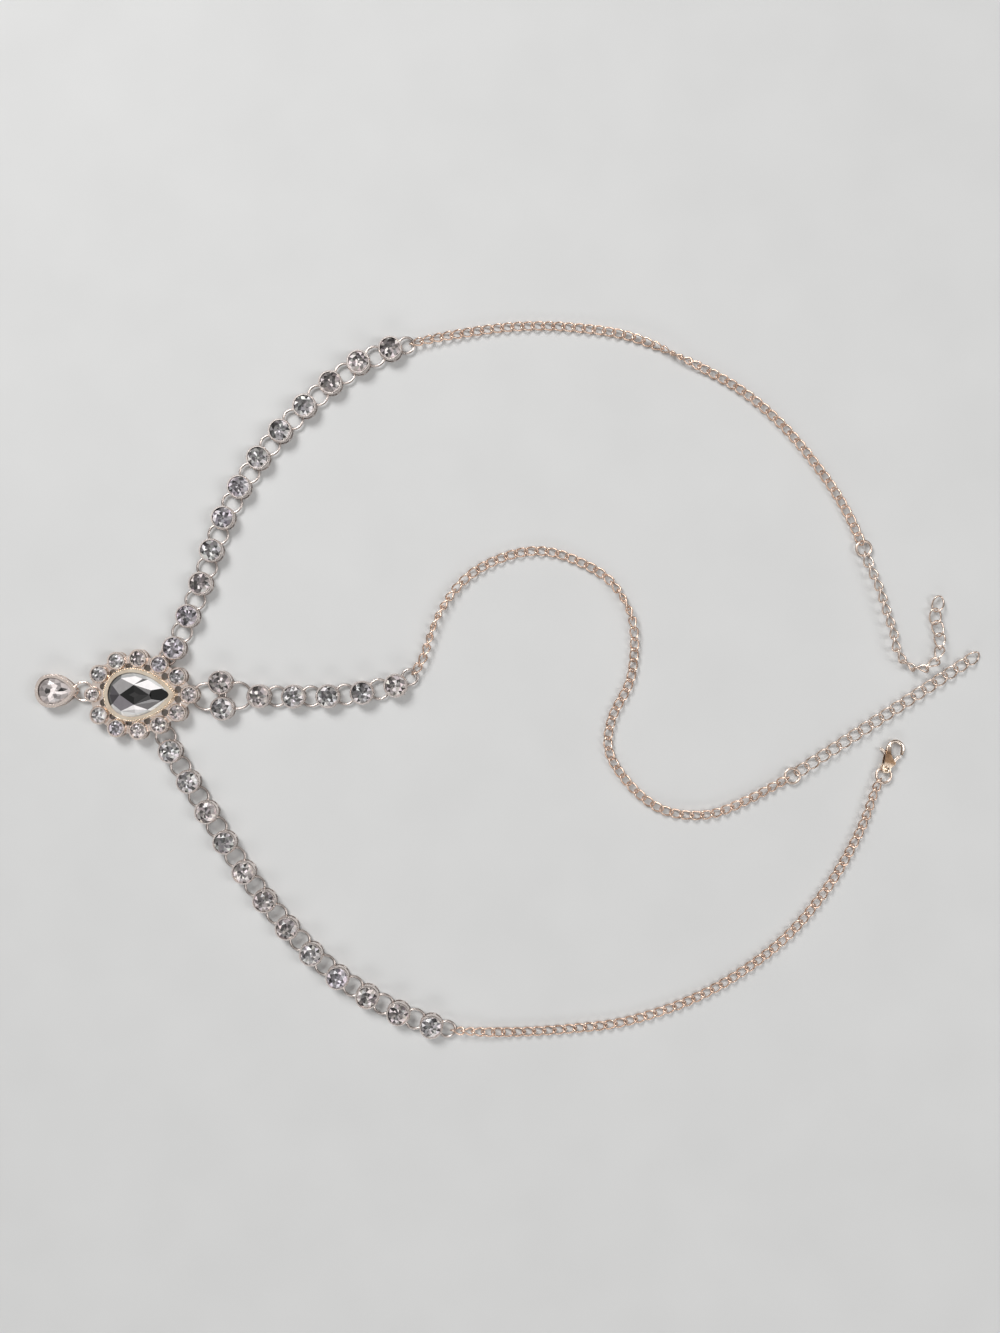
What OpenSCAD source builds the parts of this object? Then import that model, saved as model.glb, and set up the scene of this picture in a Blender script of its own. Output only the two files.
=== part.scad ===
// Hair chain: pear medallion with a drop, three strands of stones in cups,
// three fine curb chains, two extension chains and a lobster clasp.
// Millimetres. The floor is z = 0, the origin is the middle of the medallion's back.

/* [Medallion] */
// Length of the large pear stone, round end to point
stone_len = 18; // [14:0.5:22]
// Width of the large pear stone
stone_w = 13; // [10:0.5:16]
// Height of the crown above the girdle of the large stone
stone_crown = 2.2; // [1.4:0.1:3]
// Metal edge seen round the large stone
bezel_edge = 1.1; // [0.8:0.05:1.4]
// Length of the pear-shaped row through the small cup centres
row_len = 27.3; // [26:0.1:30]
// Width of the pear-shaped row through the small cup centres
row_w = 20.5; // [19.5:0.1:23]
// Outside diameter of a small cup
small_cup_d = 5.2; // [4.6:0.1:5.5]
// Outside diameter of the small cup at the round end
end_cup_d = 4.4; // [4:0.1:5.2]
// Diameter of the round holes pierced between the cups
hole_d = 2.0; // [1.2:0.1:2.4]
// Thickness of the pierced plate
plate_t = 0.7; // [0.5:0.05:1]

/* [Drop] */
// Length of the drop over its setting
drop_len = 11.6; // [10:0.1:14]
// Width of the drop over its setting
drop_w = 9.5; // [8:0.1:11]
// Outside diameter of the ring that carries the drop
drop_ring_d = 5.9; // [5.6:0.1:6.4]

/* [Strands] */
// Outside diameter of a strand cup
cup_d = 6.7; // [6:0.1:7]
// Metal edge seen round a strand or small stone
cup_edge = 0.35; // [0.3:0.05:0.5]
// Number of cups in the upper strand
upper_count = 12; // [11:1:12]
// Number of cups in the lower strand
lower_count = 12; // [11:1:12]
// Outside diameter of the rings between strand cups
strand_ring_d = 6.2; // [5.8:0.1:6.6]
// Outside diameter of the two large rings beside the pair of cups
large_ring_d = 8.1; // [7.9:0.1:8.4]
// Outside diameter of the ring from the medallion to the upper strand
join_ring_d = 5.3; // [5:0.1:5.6]
// Outside diameter of the ring at the outer end of each strand
end_ring_d = 5.1; // [4.9:0.1:5.4]
// Wire diameter of every round ring
ring_wire = 0.7; // [0.5:0.05:0.7]

/* [Chains] */
// Wire diameter of the chain links
chain_wire = 0.5; // [0.35:0.05:0.5]
// Pitch aimed at in the fine curb chains
curb_pitch = 2.92; // [2.8:0.02:3.1]
// Width over a fine curb link
curb_w = 2.75; // [2.5:0.05:3]
// Number of links in each extension chain
ext_count = 17; // [16:1:17]
// Width over an extension link
ext_w = 3.5; // [3.3:0.05:3.6]
// Outside diameter of the jump rings
jump_ring_d = 4.9; // [4.8:0.1:5.1]

/* [Clasp] */
// Direction of the clasp from its ring, degrees from the X axis
clasp_turn = 74; // [70:1:80]
// Radius of the hook, measured to the middle of its wire
hook_r = 2.0; // [1.8:0.05:2.2]
// Thickness of the hook wire
hook_wire = 1.1; // [0.9:0.05:1.2]
// Thickness of the clasp body
clasp_t = 2.1; // [2:0.05:2.4]
// Thickness of the lever
lever_t = 0.8; // [0.6:0.05:0.9]
// Diameter of the rivet pin
pin_d = 0.7; // [0.6:0.05:0.8]
// Radial clearance of the lever on its pin
pin_fit = 0.05; // [0.03:0.01:0.08]

/* [Fits] */
// Clearance left between neighbouring pieces
gap = 0.1; // [0.08:0.01:0.12]

/* [Hidden] */

rose = [0.80, 0.62, 0.55];
pale = [0.78, 0.72, 0.68];
glass = [0.90, 0.92, 0.95];

// Route points of each strand and chain, as they lie on the floor
UPPER_STRAND = [[9.6, 13.1], [17, 31], [23.5, 50], [33.5, 67], [47, 82], [60.5, 93], [70.5, 97.5]];
LOWER_STRAND = [[8.5, -16], [19, -33.5], [29.5, -50.5], [42, -66.5], [56, -80], [73, -90],
    [82, -93.5]];
MIDDLE_STRAND = [[33.5, -0.5], [53, -0.5], [62.5, 0.5], [72, 2.5]];
UPPER_CURB = [[74.95, 98.7], [79, 99.8], [90, 102], [105, 104], [120, 104], [137, 101.5],
    [152, 95.5], [169, 86.5], [182, 75.5], [193, 62], [199.5, 51.5], [204.2, 41.3]];
MIDDLE_CURB = [[75.9, 4.9], [79.5, 10], [84, 22.5], [92, 33], [103, 39], [114, 40.5], [125, 37],
    [133.5, 31], [139, 20], [138.5, 5], [133, -7], [132.5, -17], [139.5, -27], [148.5, -33],
    [160, -34], [171, -30], [184, -23]];
LOWER_CURB = [[86.5, -94.5], [90, -95], [105, -95.5], [122, -94.5], [137, -92.5], [154, -87],
    [169, -79], [183, -68], [194.5, -54], [203, -39], [207.5, -27], [209.8, -22.9]];
UPPER_EXTENSION = [[204.2, 41.3], [205.6, 37], [208.5, 30], [210.4, 24], [212.5, 17.5],
    [213.4, 13], [216, 8.8], [220.3, 7.3], [224.2, 9.4], [225.5, 13.5], [225.2, 18],
    [224.4, 21.8], [225.2, 25.6]];
MIDDLE_EXTENSION = [[184, -23], [200, -12.6], [218, -0.9], [235, 10.2]];
// Roll of the links about the line of the chain, degrees against length
MIDDLE_ROLL = [[0, -30], [8, -40], [14, -75], [26, -120], [36, -180], [74, -180], [98, -360],
    [150, -360], [190, -330]];
UPPER_EXT_ROLL = [[0, -20], [8, -45], [30, -45], [36, -70], [46, -70], [56, -15]];
MIDDLE_EXT_ROLL = [[0, -15], [60, 0]];
// Centres of the two cups side by side and of the two large rings
PAIR = [[22.6, 3.4], [23.2, -3.95]];
RING_A = [18.3, -0.6];
RING_B = [27.4, -0.3];

// Heights: a base ring on the floor, a window for the flat rings, then the bezel
base_t = 0.55;
ring_z = base_t + gap + ring_wire / 2;
bezel_z = ring_z + ring_wire / 2 + gap;
jump_z = chain_wire + 2.5 * gap + ring_wire / 2;
fit = gap / 2;
girdle_t = 0.25;
crown_ratio = 0.16;
pavilion_ratio = 0.25;
lip_t = 0.3;
post_t = 0.4;
post_w = 0.8;
// Seat under a girdle, reach, slope and chamfer of a lip, width of a base ring, depth that posts sink in
seat_w = 0.45;
lip_in = 0.1;
lip_slope = 0.25;
lip_rise = 0.25;
lip_cut = 0.12;
foot_w = 0.75;
sink = 0.2;
small_edge = cup_edge + 0.1;
// Turn of each stone after the last, degrees
stone_turn = 25;
cup_seat_z = 2.5;
small_seat_z = 2.7;
stone_seat_z = 2.5;
drop_seat_z = 2.35;
drop_edge = 0.8;
drop_post_d = 0.6;
pear_m = 0.6;
row_m = 0.4;
row_x = 0.43;
curb_gap = 0.35;
curb_twist = 0.56;
ext_gap = 0.4;
ext_twist = 0.64;
curb_reach = 2.9;
ext_reach = 3.25;

cup_r = cup_d / 2;
cup_stone_r = cup_r - cup_edge;
small_r = small_cup_d / 2;
ring_r = (strand_ring_d - ring_wire) / 2;
large_r = (large_ring_d - ring_wire) / 2;
join_r = (join_ring_d - ring_wire) / 2;
end_r = (end_ring_d - ring_wire) / 2;
jump_r = (jump_ring_d - ring_wire) / 2;

// Smooth line through points, and lookup tables of x and y against its length
function bend(a, b, c, d, u) = 0.5 * (2 * b + (c - a) * u + (2 * a - 5 * b + 4 * c - d) * u * u
    + (3 * b - a - 3 * c + d) * u * u * u);
function smooth(P) = let (n = len(P), Q = concat([2 * P[0] - P[1]], P, [2 * P[n-1] - P[n-2]]))
    concat([for (i = [1:n-1], k = [0:7]) bend(Q[i-1], Q[i], Q[i+1], Q[i+2], k / 8)], [P[n-1]]);
function steps(q) = [for (i = 0, a = 0; i < len(q); a = a + (i < len(q) - 1 ?
    norm(q[i+1] - q[i]) : 0), i = i + 1) a];
function route(q) = let (s = steps(q)) [[for (i = [0:len(q)-1]) [s[i], q[i][0]]],
    [for (i = [0:len(q)-1]) [s[i], q[i][1]]], s[len(s)-1]];
function at(r, s) = [lookup(s, r[0]), lookup(s, r[1])];
function aim(a, b) = atan2(b[1] - a[1], b[0] - a[0]);
function heading(r, s, d) = aim(at(r, max(0, s - d)), at(r, min(r[2], s + d)));

// Pear outline, point at +X
function peak(m) = let (t = acos(-m / (2 + m))) sin(t) * pow(sin(t / 2), m);
function pear_at(l, w, m, x0, t) = [x0 + l / 2 * cos(t), w / 2 * sin(t) * pow(sin(t / 2), m) / peak(m)];
function pear(l, w, m, x0, n = 48) = [for (i = [0:n-1]) pear_at(l, w, m, x0, 360 * i / n)];

// Where the cups and rings sit
row = route(concat(pear(row_len, row_w, row_m, row_x, 240), [[row_x + row_len / 2, 0]]));
SMALL = [for (k = [0:11]) at(row, row[2] * k / 12)];
function strand(P, n) = let (r = route(smooth(P))) [for (i = [0:n-1]) at(r, r[2] * i / (n - 1))];
function beside(c, r, a) = c + r * [cos(a), sin(a)];
// Drop ring: how far it reaches into the end cup, and which way it lies, degrees from the X axis
cup_bite = 1.5;
drop_ring_turn = 164;
drop_ring_r = (drop_ring_d - ring_wire) / 2;
DROP_RING = beside(SMALL[6], end_cup_d / 2 + drop_ring_r - cup_bite, drop_ring_turn);
// Drop: how far the ring reaches into its setting, and which way it lies
drop_bite = 1.2;
drop_turn = 179;
DROP = beside(DROP_RING, drop_ring_r + drop_len / 2 - drop_bite, drop_turn);
UPPER = strand(UPPER_STRAND, upper_count);
LOWER = strand(LOWER_STRAND, lower_count);
LINE = strand(MIDDLE_STRAND, 5);
function mids(C) = [for (i = [0:len(C)-2]) (C[i] + C[i+1]) / 2];
function join(a, b, r) = let (d = norm(b - a)) a + (b - a) * (r + (d - 2 * r) / 3) / d;
UPPER_JOIN = join(SMALL[2], UPPER[0], join_r);
LOWER_JOIN = join(SMALL[10], LOWER[0], ring_r);
UPPER_RINGS = concat([UPPER_JOIN], mids(UPPER), [UPPER_CURB[0]]);
LOWER_RINGS = concat([LOWER_JOIN], mids(LOWER), [LOWER_CURB[0]]);
LINE_RINGS = concat([RING_B], mids(LINE), [MIDDLE_CURB[0]]);
// Posts of a cup: one inside each ring, the others between
function posts(c, a, b) = let (p = aim(c, a), q = aim(c, b), m = (p + q) / 2) [p, q, m, m + 180];

// Cut stone: table, star, kite and girdle facets, pavilion down to a point
function gem(c, l, w, m, z, h, d, turn) = let (
    f = function (k, t) m < 0 ? [l / 2 * k * cos(t + turn), w / 2 * k * sin(t + turn)]
        : pear_at(l * k, w * k, m, 0, t),
    put = function (p, zz) [c[0] + p[0], c[1] + p[1], zz],
    zm = z + girdle_t + h * 0.58)
    concat([for (i = [0:7]) put(f(0.55, 45 * i), z + girdle_t + h)],
        [for (i = [0:7]) put(f(0.8, 45 * i + 22.5), zm)],
        [for (i = [0:15]) put(f(1, 22.5 * i), z + girdle_t)],
        [for (i = [0:15]) put(f(1, 22.5 * i), z)], [put([0, 0], z - d)]);
gem_faces = concat([[for (i = [7:-1:0]) i]],
    [for (i = [0:7]) [i, (i + 1) % 8, 8 + i]],
    [for (i = [0:7]) [i, 8 + i, 16 + 2 * i]],
    [for (i = [0:7]) [i, 16 + 2 * i, 8 + (i + 7) % 8]],
    [for (i = [0:7]) [8 + i, 17 + 2 * i, 16 + 2 * i]],
    [for (i = [0:7]) [8 + i, 16 + (2 * i + 2) % 16, 17 + 2 * i]],
    [for (i = [0:15]) [16 + i, 32 + (i + 1) % 16, 32 + i]],
    [for (i = [0:15]) [16 + i, 16 + (i + 1) % 16, 32 + (i + 1) % 16]],
    [for (i = [0:15]) [32 + i, 32 + (i + 1) % 16, 48]]);
function shift(F, n) = [for (f = F) [for (i = f) i + n]];
function flat(L) = [for (a = L, b = a) b];
module gems(C, d, z, e = 0) {
    polyhedron(points = flat([for (i = [0:len(C)-1]) let (s = (i == 6 && e > 0) ? e : d)
        gem(C[i], s, s, -1, z, crown_ratio * s, pavilion_ratio * s, stone_turn * i)]),
        faces = flat([for (i = [0:len(C)-1]) shift(gem_faces, 49 * i)]));
}

// Cup: bezel with a seat and a lip, base ring, and posts between them
module bezel(r, s, z) {
    lip = z + girdle_t + lip_rise;
    rotate_extrude($fn = 48) polygon([[s - seat_w, bezel_z], [r, bezel_z], [r, lip],
        [r - lip_slope, lip + lip_t], [s - lip_in, lip + lip_t], [s - lip_in, lip],
        [s + fit, lip - lip_cut], [s + fit, z - fit], [s - seat_w, z - seat_w]]);
}
module foot(r) {
    difference() {
        cylinder(h = base_t, r = r, $fn = 48);
        translate([0, 0, -1]) cylinder(h = base_t + 2, r = r - foot_w, $fn = 48);
    }
}
module leg(r, a) {
    rotate(a) translate([r - post_t, -post_w / 2, base_t / 2])
        cube([post_t - 0.02, post_w, bezel_z - base_t / 2 + sink]);
}
module cup(c, r, s, z, A) {
    translate([c[0], c[1], 0]) {
        bezel(r, s, z);
        foot(r);
        for (a = A) leg(r, a);
    }
}
module loop(c, r, z) {
    translate([c[0], c[1], z]) rotate_extrude($fn = 48)
        translate([r, 0]) circle(d = ring_wire, $fn = 24);
}
module strand_cups(C, R) {
    color(pale) for (i = [0:len(C)-1]) cup(C[i], cup_r, cup_stone_r, cup_seat_z,
        posts(C[i], R[i], R[i+1]));
}

// Chain of twisted curb links, every link resting on the floor
function curl(l, w, a, roll, t) = let (y = w / 2 * sin(t), z = a * sin(2 * t))
    [l / 2 * cos(t), y * cos(roll) - z * sin(roll), y * sin(roll) + z * cos(roll)];
function unit(v) = v / norm(v);
function link(p, h, l, w, a, roll, n) = let (
    C = [for (j = [0:n-1]) curl(l, w, a, roll, 360 * j / n)],
    z0 = chain_wire / 2 - min([for (c = C) c[2]]))
    [for (j = [0:n-1]) let (t = unit(C[(j+1) % n] - C[(j+n-1) % n]),
        u = unit(cross(t, [0, -sin(roll), cos(roll)])), v = cross(u, t))
        for (k = [0:4]) let (q = C[j] + chain_wire / 2 * (cos(72 * k) * u + sin(72 * k) * v))
            [p[0] + q[0] * cos(h) - q[1] * sin(h), p[1] + q[0] * sin(h) + q[1] * cos(h), q[2] + z0]];
function link_faces(n) = [for (j = [0:n-1], k = [0:4], b = [0, 1])
    let (m = (j + 1) % n, l = (k + 1) % 5)
    b == 0 ? [5 * j + k, 5 * j + l, 5 * m + l] : [5 * j + k, 5 * m + l, 5 * m + k]];
module chain(P, first, last, count, w, a, slack, roll, n) {
    r = route(smooth(P));
    run = r[2] - first - last;
    pitch = run / (count - 1);
    polyhedron(points = flat([for (i = [0:count-1]) let (s = first + i * pitch)
        link(at(r, s), heading(r, s, pitch / 2), pitch + chain_wire + slack, w - chain_wire, a,
            lookup(s, roll), n)]),
        faces = flat([for (i = [0:count-1]) shift(link_faces(n), 5 * n * i)]));
}
function curb_count(P) = round((route(smooth(P))[2] - 2 * curb_reach) / curb_pitch) + 1;

// Envelope of a fine chain: a flattened tube along the same route, a ring every rope_step
curb_h = chain_wire + 2 * curb_twist;
rope_step = 6;
rope_sides = 8;
module rope(P, r0, r1) {
    r = route(smooth(P));
    m = rope_sides;
    a = 360 / m;
    s0 = r0 + ring_wire / 2 + 1.5 * gap;
    s1 = r[2] - r1 - ring_wire / 2 - 1.5 * gap;
    n = round((s1 - s0) / rope_step);
    polyhedron(points = [for (i = [0:n]) let (s = s0 + (s1 - s0) * i / n, p = at(r, s),
        h = heading(r, s, 1)) for (k = [0:m-1]) let (y = curb_w / 2 * cos(a * (k + 0.5)))
        [p[0] - y * sin(h), p[1] + y * cos(h), curb_h / 2 + curb_h / 2 * sin(a * (k + 0.5))]],
        faces = concat([[for (k = [0:m-1]) k]], [[for (k = [m-1:-1:0]) m * n + k]],
        flat([for (i = [0:n-1], k = [0:m-1]) let (l = (k + 1) % m, b = m * i)
            [[b + k, b + m + l, b + l], [b + k, b + m + k, b + m + l]]])));
}

// Large setting: closed back, bezel wall, seat, lip, pierced plate and twelve cups
back_t = 0.55;
// Inward step from the row of cups to the holes, and the plate's edge beyond the row
hole_in = 2;
plate_over = 0.8;
module ring_of(outer, inner, z, h) {
    translate([0, 0, z]) linear_extrude(h) difference() {
        polygon(outer);
        polygon(inner);
    }
}
function out_aim(k) = let (s = row[2] * k / 12) (k == 0 ? 0 : heading(row, s, 1) - 90);
function small_aim(k) = k == 0 ? aim(SMALL[0], RING_A) : k == 2 ? aim(SMALL[2], UPPER_JOIN)
    : k == 6 ? aim(SMALL[6], DROP_RING) : k == 10 ? aim(SMALL[10], LOWER_JOIN) : out_aim(k);
module medallion_setting() {
    e = bezel_edge;
    wall = pear(stone_len + 2 * e + 0.4, stone_w + 2 * e, pear_m, 0.2);
    top = stone_seat_z + girdle_t + 0.45;
    color(rose) {
        linear_extrude(back_t) polygon(wall);
        ring_of(wall, pear(stone_len - 1.7, stone_w - 1.6, pear_m, -0.15), 0, 2);
        ring_of(wall, pear(stone_len + 0.2, stone_w + 0.14, pear_m, 0.03), 2, top - 2);
        ring_of(pear(stone_len + 1.6, stone_w + 1.4, pear_m, 0.1),
            pear(stone_len - 0.8, stone_w - 0.5, pear_m, -0.15), top, lip_t);
        translate([0, 0, bezel_z]) linear_extrude(plate_t) difference() {
            polygon(pear(row_len + 2 * plate_over, row_w + 2 * plate_over, row_m, row_x));
            polygon(pear(stone_len + 1, stone_w + 1, pear_m, 0.1));
            for (k = [0:11]) let (a = SMALL[k], b = SMALL[(k + 1) % 12], h = aim(a, b))
                translate((a + b) / 2 + hole_in * [-sin(h), cos(h)]) circle(d = hole_d, $fn = 24);
            for (k = [0:11]) translate(SMALL[k])
                circle(r = (k == 6 ? end_cup_d / 2 : small_r) - seat_w - fit, $fn = 24);
        }
        for (k = [0:11]) let (r = k == 6 ? end_cup_d / 2 : small_r, a = small_aim(k))
            cup(SMALL[k], r, r - small_edge, small_seat_z, [a, a + 120, a + 240]);
    }
}
// Large stone: lozenge crown whose corners lie on one dome
loz_a = stone_len * 0.222;
loz_b = stone_w * 0.212;
module medallion_stone() {
    z = stone_seat_z + girdle_t;
    t = z + stone_crown;
    k = stone_crown / 4.4;
    x = -0.9;
    color(glass) hull() polyhedron(points = concat(
        [for (i = [-1, 1]) [x + i * loz_a, 0, t]],
        [for (i = [-1, 1]) [x, i * loz_b, t]],
        [for (i = [-1, 1]) [x - loz_a, 2 * i * loz_b, t - 4 * k]],
        [for (p = pear(stone_len, stone_w, pear_m, 0, 32)) [p[0], p[1], z]],
        [for (p = pear(stone_len, stone_w, pear_m, 0, 32)) [p[0], p[1], z - girdle_t]],
        [for (p = pear(stone_len * 0.4, stone_w * 0.4, pear_m, 0, 8)) [p[0], p[1], 0.7]]),
        faces = [[for (i = [0:77]) i]]);
}
module medallion_small_stones() {
    color(glass) gems(SMALL, small_cup_d - 2 * small_edge, small_seat_z,
        end_cup_d - 2 * small_edge);
}

// Drop: pear setting with the same window and posts as the cups
module drop_setting() {
    l = drop_len;
    w = drop_w;
    e = drop_edge;
    lip = drop_seat_z + girdle_t + 0.4;
    color(rose) translate([DROP[0], DROP[1], 0]) {
        ring_of(pear(l, w, pear_m, 0), pear(l - 3, w - 2, pear_m, -0.35), 0, base_t);
        ring_of(pear(l, w, pear_m, 0), pear(l - 3.4, w - 2.4, pear_m, -0.4), bezel_z, 0.35);
        ring_of(pear(l, w, pear_m, 0), pear(l - 2 * e + 0.3, w - 2 * e + 0.2, pear_m, 0.05),
            bezel_z + 0.35, lip - bezel_z - 0.35);
        ring_of(pear(l - 0.6, w - 0.5, pear_m, -0.05),
            pear(l - 2 * e - 0.5, w - 2 * e - 0.4, pear_m, -0.08), lip, lip_t);
        for (t = [0, 75, 135, 225, 285]) let (p = pear_at(l - 1, w - 0.9, pear_m, 0, t))
            translate([p[0] + (t == 0 ? 0.1 : 0), p[1], base_t / 2])
                cylinder(h = bezel_z - base_t / 2 + sink, d = drop_post_d, $fn = 24);
    }
}
module drop_stone() {
    e = drop_edge;
    color(glass) polyhedron(points = gem(DROP, drop_len - 2 * e, drop_w - 2 * e, pear_m,
        drop_seat_z, 1.1, 0.75, 0), faces = gem_faces);
}
module drop_ring() { color(rose) loop(DROP_RING, drop_ring_r, ring_z); }

// Strands
module upper_strand_cups() { strand_cups(UPPER, UPPER_RINGS); }
module lower_strand_cups() { strand_cups(LOWER, LOWER_RINGS); }
module middle_strand_cups() {
    strand_cups(LINE, LINE_RINGS);
    color(pale) for (c = PAIR) let (a = aim(c, RING_A), b = aim(c, RING_B),
        m = (a + b) / 2 + (abs(a - b) > 180 ? 180 : 0))
        cup(c, cup_r, cup_stone_r, cup_seat_z, [a, b, m + 180]);
}
module upper_strand_stones() { color(glass) gems(UPPER, 2 * cup_stone_r, cup_seat_z); }
module lower_strand_stones() { color(glass) gems(LOWER, 2 * cup_stone_r, cup_seat_z); }
module middle_strand_stones() {
    color(glass) gems(concat(PAIR, LINE), 2 * cup_stone_r, cup_seat_z);
}
module upper_strand_rings() {
    color(pale) {
        loop(UPPER_JOIN, join_r, ring_z);
        for (c = mids(UPPER)) loop(c, ring_r, ring_z);
        loop(UPPER_CURB[0], end_r, ring_z);
    }
}
module lower_strand_rings() {
    color(pale) {
        loop(LOWER_JOIN, ring_r, ring_z);
        for (c = mids(LOWER)) loop(c, ring_r, ring_z);
        loop(LOWER_CURB[0], end_r, ring_z);
    }
}
module middle_strand_rings() {
    color(pale) {
        loop(RING_A, large_r, ring_z);
        loop(RING_B, large_r, ring_z);
        for (c = mids(LINE)) loop(c, ring_r, ring_z);
        loop(MIDDLE_CURB[0], end_r, ring_z);
    }
}

// Chains and their rings
module upper_curb_chain() { color(rose) rope(UPPER_CURB, end_r, jump_r); }
module lower_curb_chain() { color(rose) rope(LOWER_CURB, end_r, jump_r); }
module middle_curb_chain() {
    color(rose) chain(MIDDLE_CURB, curb_reach, curb_reach, curb_count(MIDDLE_CURB), curb_w,
        curb_twist, curb_gap, MIDDLE_ROLL, 10);
}
module upper_jump_ring() { color(pale) loop(UPPER_EXTENSION[0], jump_r, jump_z); }
module middle_jump_ring() { color(pale) loop(MIDDLE_EXTENSION[0], jump_r, jump_z); }
module upper_extension_chain() {
    color(pale) chain(UPPER_EXTENSION, ext_reach, 0, ext_count, ext_w, ext_twist, ext_gap,
        UPPER_EXT_ROLL, 12);
}
module middle_extension_chain() {
    color(pale) chain(MIDDLE_EXTENSION, ext_reach, 0, ext_count, ext_w, ext_twist, ext_gap,
        MIDDLE_EXT_ROLL, 12);
}

// Clasp, drawn along +Y from its eye, then turned to lie beyond its ring
claw = LOWER_CURB[len(LOWER_CURB)-1];
module clasp_place() {
    translate([claw[0], claw[1], 0]) rotate(clasp_turn - 90) translate([0, jump_r, 0]) children();
}
PIN = [1.3, 1.9];
HOOK = [1.2, 6.2];
TIP = [3.05, 4.8];
tip_r = 0.4;
gate_r = norm(TIP - PIN) - 0.4 * tip_r - 1.3 * gap;
slot_t = lever_t + 2 * gap;
mid_z = clasp_t / 2;
// The body thins towards the hook from this height along it
neck_y = 4;
neck_tilt = atan((clasp_t - hook_wire) / 2 / (HOOK[1] - neck_y));
eye_r = 1.25;
dish = 0.45;
module clasp_jump_ring() { color(pale) loop(claw, jump_r, jump_z); }
module clasp_body() {
    color(rose) clasp_place() {
        difference() {
            union() {
                linear_extrude(clasp_t) union() {
                    polygon([[-1, 0.4], [1.15, 0.4], [1.95, 1.5], [1.75, 2.5], [0.7, 3.4],
                        [0.1, 4.6], [-0.2, 6.2], [-1.3, 6.2], [-1.3, 4], [-1.15, 2.2]]);
                    translate(PIN) circle(r = 0.8, $fn = 32);
                    translate([-0.75, 6.2]) circle(r = 0.55, $fn = 32);
                }
                translate([0, -0.1, 0]) cylinder(h = clasp_t, r = eye_r, $fn = 32);
            }
            translate([0, -0.1, clasp_t - dish])
                cylinder(h = dish + 0.01, r1 = 0.3, r2 = 0.75, $fn = 32);
            translate([-3, neck_y, clasp_t]) rotate([-neck_tilt, 0, 0]) cube([6, 4, 1]);
            translate([-3, neck_y, 0]) rotate([neck_tilt, 0, 0]) translate([0, 0, -1]) cube([6, 4, 1]);
            translate([-4, 1.15, mid_z - slot_t / 2]) cube([8, 3.85, slot_t]);
            translate([-2, -0.85, jump_z - ring_wire / 2 - 1.3 * gap])
                cube([4, 1.37, ring_wire + 2.6 * gap]);
        }
        translate([HOOK[0], HOOK[1], mid_z]) rotate_extrude(angle = 190, $fn = 48)
            translate([hook_r, 0]) circle(d = hook_wire, $fn = 24);
        translate([HOOK[0] + hook_r, HOOK[1] + 0.02, mid_z]) rotate([90, 0, 6])
            cylinder(h = 1.42, r1 = hook_wire / 2, r2 = tip_r, $fn = 24);
        translate([PIN[0], PIN[1], 0.1]) cylinder(h = clasp_t - 0.2, d = pin_d, $fn = 24);
    }
}
module clasp_lever() {
    a = aim(PIN, TIP);
    color(rose) clasp_place() translate([PIN[0], PIN[1], mid_z - lever_t / 2])
        difference() {
            linear_extrude(lever_t) union() {
                circle(r = 0.7, $fn = 32);
                rotate(a) translate([0, -0.4]) square([gate_r - 0.4, 0.8]);
                rotate(a) translate([gate_r - 0.4, 0]) circle(r = 0.4, $fn = 24);
                polygon([[-0.2, -0.65], [0.5, 0.5], [-2.35, 2.6], [-3.75, 3.25], [-4.05, 2.75],
                    [-2.6, 1.9]]);
                translate([-3.9, 3]) circle(r = 0.42, $fn = 24);
            }
            translate([0, 0, -1]) cylinder(h = lever_t + 2, d = pin_d + 2 * pin_fit, $fn = 24);
        }
}

medallion_setting();
medallion_stone();
medallion_small_stones();
drop_ring();
drop_setting();
drop_stone();
upper_strand_cups();
upper_strand_stones();
upper_strand_rings();
lower_strand_cups();
lower_strand_stones();
lower_strand_rings();
middle_strand_cups();
middle_strand_stones();
middle_strand_rings();
upper_curb_chain();
middle_curb_chain();
lower_curb_chain();
upper_jump_ring();
middle_jump_ring();
upper_extension_chain();
middle_extension_chain();
clasp_jump_ring();
clasp_body();
clasp_lever();
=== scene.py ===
import math
import random

import bpy
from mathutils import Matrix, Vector


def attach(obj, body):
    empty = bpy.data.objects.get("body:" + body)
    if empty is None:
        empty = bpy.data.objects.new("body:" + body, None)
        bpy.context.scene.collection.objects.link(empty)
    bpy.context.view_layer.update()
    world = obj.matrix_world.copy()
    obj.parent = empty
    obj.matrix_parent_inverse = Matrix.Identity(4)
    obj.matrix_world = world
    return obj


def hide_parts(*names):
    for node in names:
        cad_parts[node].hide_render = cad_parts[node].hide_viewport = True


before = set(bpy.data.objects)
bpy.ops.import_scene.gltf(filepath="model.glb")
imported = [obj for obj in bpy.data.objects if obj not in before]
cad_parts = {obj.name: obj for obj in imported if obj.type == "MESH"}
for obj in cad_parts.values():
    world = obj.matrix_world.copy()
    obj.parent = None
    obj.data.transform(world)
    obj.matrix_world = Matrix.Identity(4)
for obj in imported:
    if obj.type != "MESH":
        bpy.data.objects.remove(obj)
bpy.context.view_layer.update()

# Lengths in this script are millimetres in the part's own frame, turned into metres by MM
MM = 0.001

# The photograph looks straight down; its frame is 1000 x 1333 and VIEW_WIDTH wide at the floor
CAMERA_X, CAMERA_Y, CAMERA_HEIGHT = 101.4, 7.9, 330
VIEW_WIDTH = 283.6
SENSOR = 36
# What the camera sees, from nearest to farthest, in metres
CLIP_START, CLIP_END = 0.005, 20


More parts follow.
